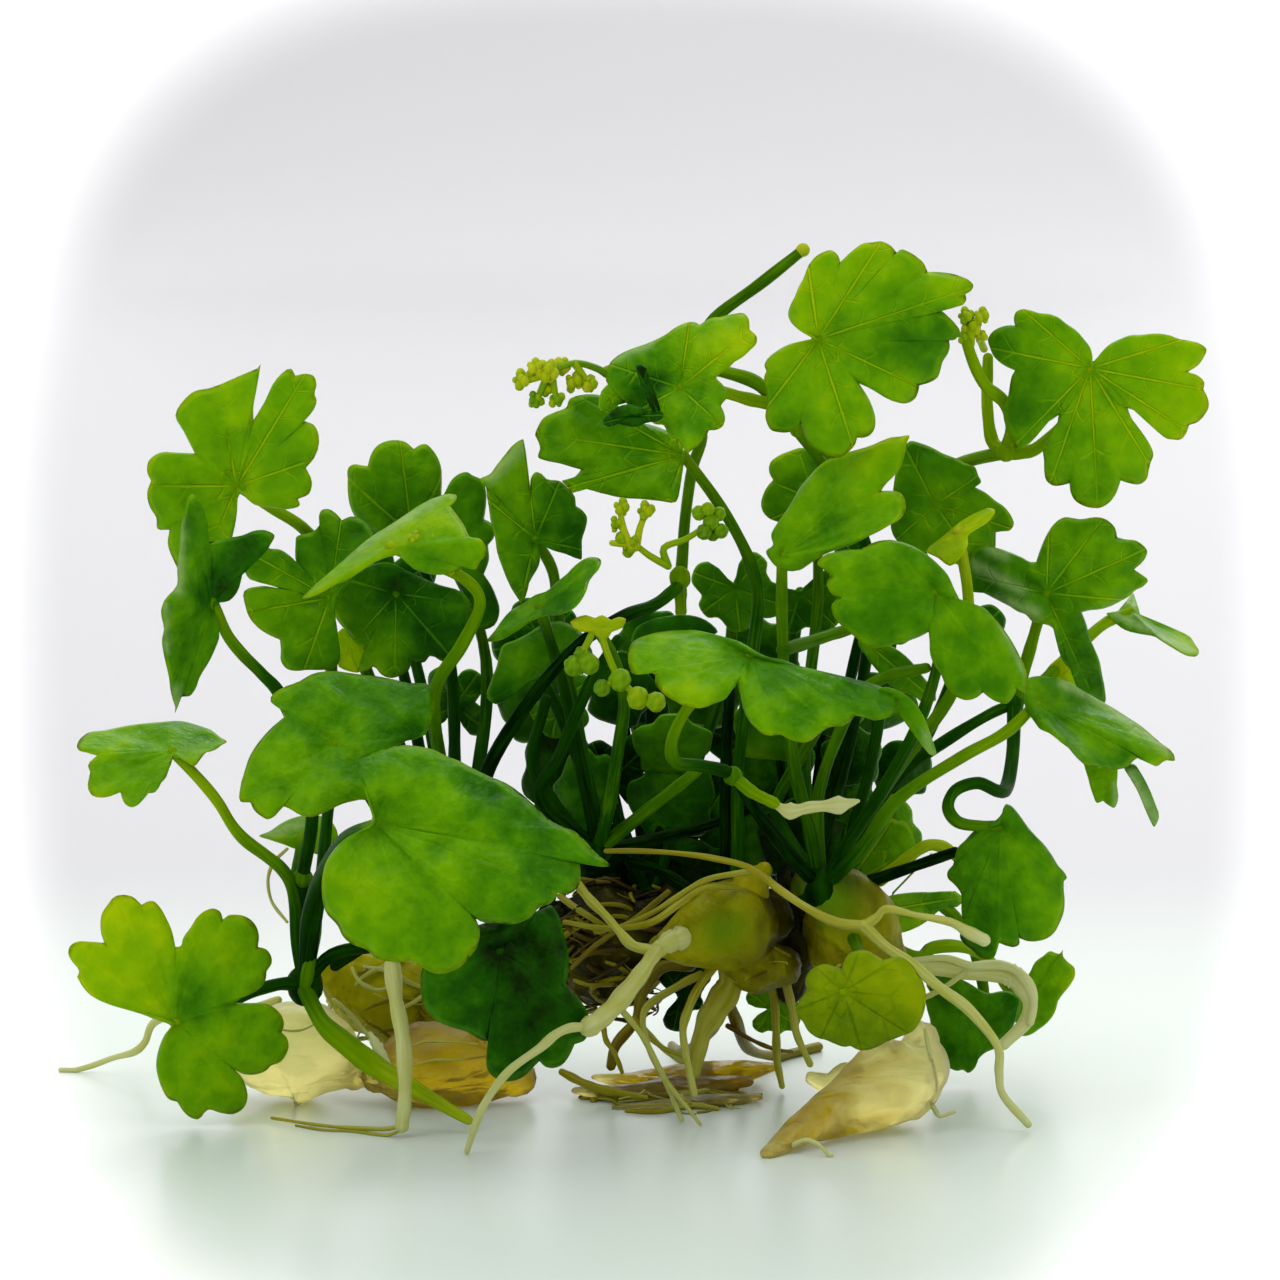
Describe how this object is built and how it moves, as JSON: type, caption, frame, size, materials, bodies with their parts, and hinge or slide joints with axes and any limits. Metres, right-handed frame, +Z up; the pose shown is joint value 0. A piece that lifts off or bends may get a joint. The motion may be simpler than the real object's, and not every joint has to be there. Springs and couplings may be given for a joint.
{
  "type": "pennywort plant",
  "caption": "Small bare clump of three-lobed pennywort with toothed leaves on thin stalks, standing on its roots",
  "frame": {"origin": "on the floor, on the flat underside of the root mat under the middle of the clump", "axes": "+Z up, -Y the front that shows the most leaf faces, +X to the right seen from the front"},
  "size_m": [0.0703, 0.0406, 0.0529],
  "materials": {
    "leaf": "glossy green leaf blade",
    "stem": "smooth green stalk",
    "flower": "pale yellow-green buds",
    "root": "pale wet root",
    "gel": "clear yellowish nutrient gel"
  },
  "bodies": {
    "root": {"back_stem_centre": "stem", "back_stem_left": "stem", "back_stem_right": "stem", "centre_crown": "stem", "centre_left_stems": "stem", "centre_roots": "root", "fruits_middle": "flower", "gel_left": "gel", "gel_right": "gel", "leaf_centre_front": "leaf", "leaf_far_right": "leaf", "leaf_front_big": "leaf", "leaf_front_round": "leaf", "leaf_left_back": "leaf", "leaf_left_dark": "leaf", "leaf_left_dome": "leaf", "leaf_left_hanging": "leaf", "leaf_left_middle": "leaf", "leaf_left_pale": "leaf", "leaf_left_slanting": "leaf", "leaf_left_small": "leaf", "leaf_left_top": "leaf", "leaf_left_umbrella": "leaf", "leaf_low_left": "leaf", "leaf_mid_diagonal": "leaf", "leaf_mid_left": "leaf", "leaf_mid_low": "leaf", "leaf_right_dark": "leaf", "leaf_right_drooping": "leaf", "leaf_right_light": "leaf", "leaf_right_looped": "leaf", "leaf_right_low": "leaf", "leaf_right_low_back": "leaf", "leaf_right_middle": "leaf", "leaf_right_olive": "leaf", "leaf_right_shaded": "leaf", "leaf_right_star": "leaf", "leaf_right_three": "leaf", "leaf_right_young": "leaf", "leaf_shadow": "leaf", "leaf_top_big": "leaf", "leaf_top_folded": "leaf", "leaf_top_middle": "leaf", "left_crown": "stem", "left_runner": "stem", "main_stem": "stem", "right_crown": "stem", "right_stem": "stem", "root_far_left": "root", "root_front_long": "root", "root_left_white": "root", "root_loop": "root", "root_mat": "root", "root_right_long": "root", "top_right_stem": "stem", "umbel_top_left": "flower", "umbel_top_right": "flower", "umbels_centre": "flower", "upper_stem": "stem"}
  },
  "joints": []
}
